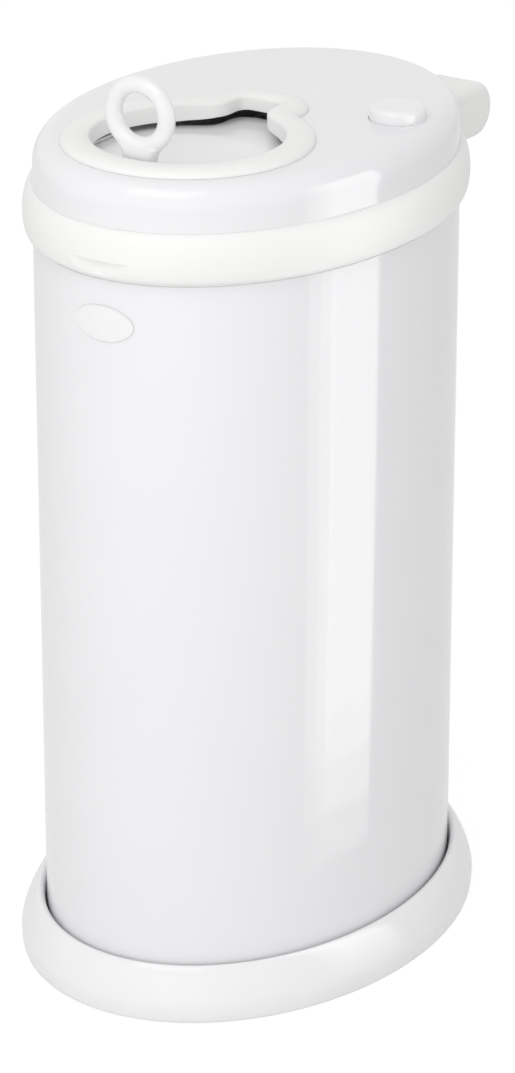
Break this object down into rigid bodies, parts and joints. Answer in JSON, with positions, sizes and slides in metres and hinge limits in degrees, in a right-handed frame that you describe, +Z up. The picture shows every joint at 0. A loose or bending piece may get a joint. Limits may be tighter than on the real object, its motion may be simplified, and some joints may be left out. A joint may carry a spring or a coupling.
{
  "type": "nappy bin",
  "caption": "Tall oval steel nappy bin on a flared foot, with a hinged lid, a sliding odour door with a ring handle, and a lock button.",
  "frame": {"origin": "on the ground under the middle of the oval body", "axes": "+Z up, front with the opening and badge towards -Y, hinge towards +Y, lock button towards +X"},
  "size_m": [0.274, 0.3845, 0.6076],
  "materials": {
    "painted_steel": "gloss white powder coat",
    "gloss_plastic": "gloss white",
    "matt_plastic": "fine satin white",
    "slippery_plastic": "natural acetal",
    "grey_rubber": "matt grey",
    "badge": "white with a bare rim, blank",
    "zinc": "bright zinc"
  },
  "bodies": {
    "pail": {"foot_rubber_ring": "grey_rubber", "foot_moulding": "gloss_plastic", "foot_screws": "zinc", "body_shell": "painted_steel", "body_floor_pan": "painted_steel", "blank_badge": "badge", "top_rim": "matt_plastic", "bag_ring": "matt_plastic", "hinge_bracket": "matt_plastic", "bracket_screws": "zinc", "hinge_pin": "zinc"},
    "lid": {"hinge_pin_plugs": "matt_plastic", "lid_band": "matt_plastic", "lid_hinge_housing": "matt_plastic", "housing_screws": "zinc", "lid_cap": "painted_steel", "opening_collar": "matt_plastic", "lid_inner_cover": "matt_plastic", "chute_sleeve": "matt_plastic", "lid_gasket": "grey_rubber", "lid_screws": "zinc", "chute_seal": "grey_rubber", "door_rail_left": "matt_plastic", "door_rail_right": "matt_plastic", "rail_screws": "zinc", "lock_guide": "matt_plastic"},
    "door": {"door_panel": "gloss_plastic", "door_runner_left": "slippery_plastic", "door_runner_right": "slippery_plastic", "ring_handle": "matt_plastic", "handle_screws": "zinc", "lock_catch": "slippery_plastic"},
    "lock": {"lock_button": "gloss_plastic", "lock_arm": "slippery_plastic", "lock_spring": "zinc"}
  },
  "joints": [
    {"name": "lid_hinge", "type": "hinge", "parent": "pail", "child": "lid", "pos_m": [0, 0.1867, 0.5151], "axis": [-1, 0, 0], "range_deg": [0, 100]},
    {"name": "door_slide", "type": "slide", "parent": "lid", "child": "door", "axis": [0, 1, 0], "range_m": [0, 0.128]},
    {"name": "lock_press", "type": "slide", "parent": "lid", "child": "lock", "axis": [0, 0, -1], "range_m": [0, 0.003], "stiffness_N_per_m": 500, "springref_m": -0.002, "deforming": ["lock_spring"]}
  ]
}
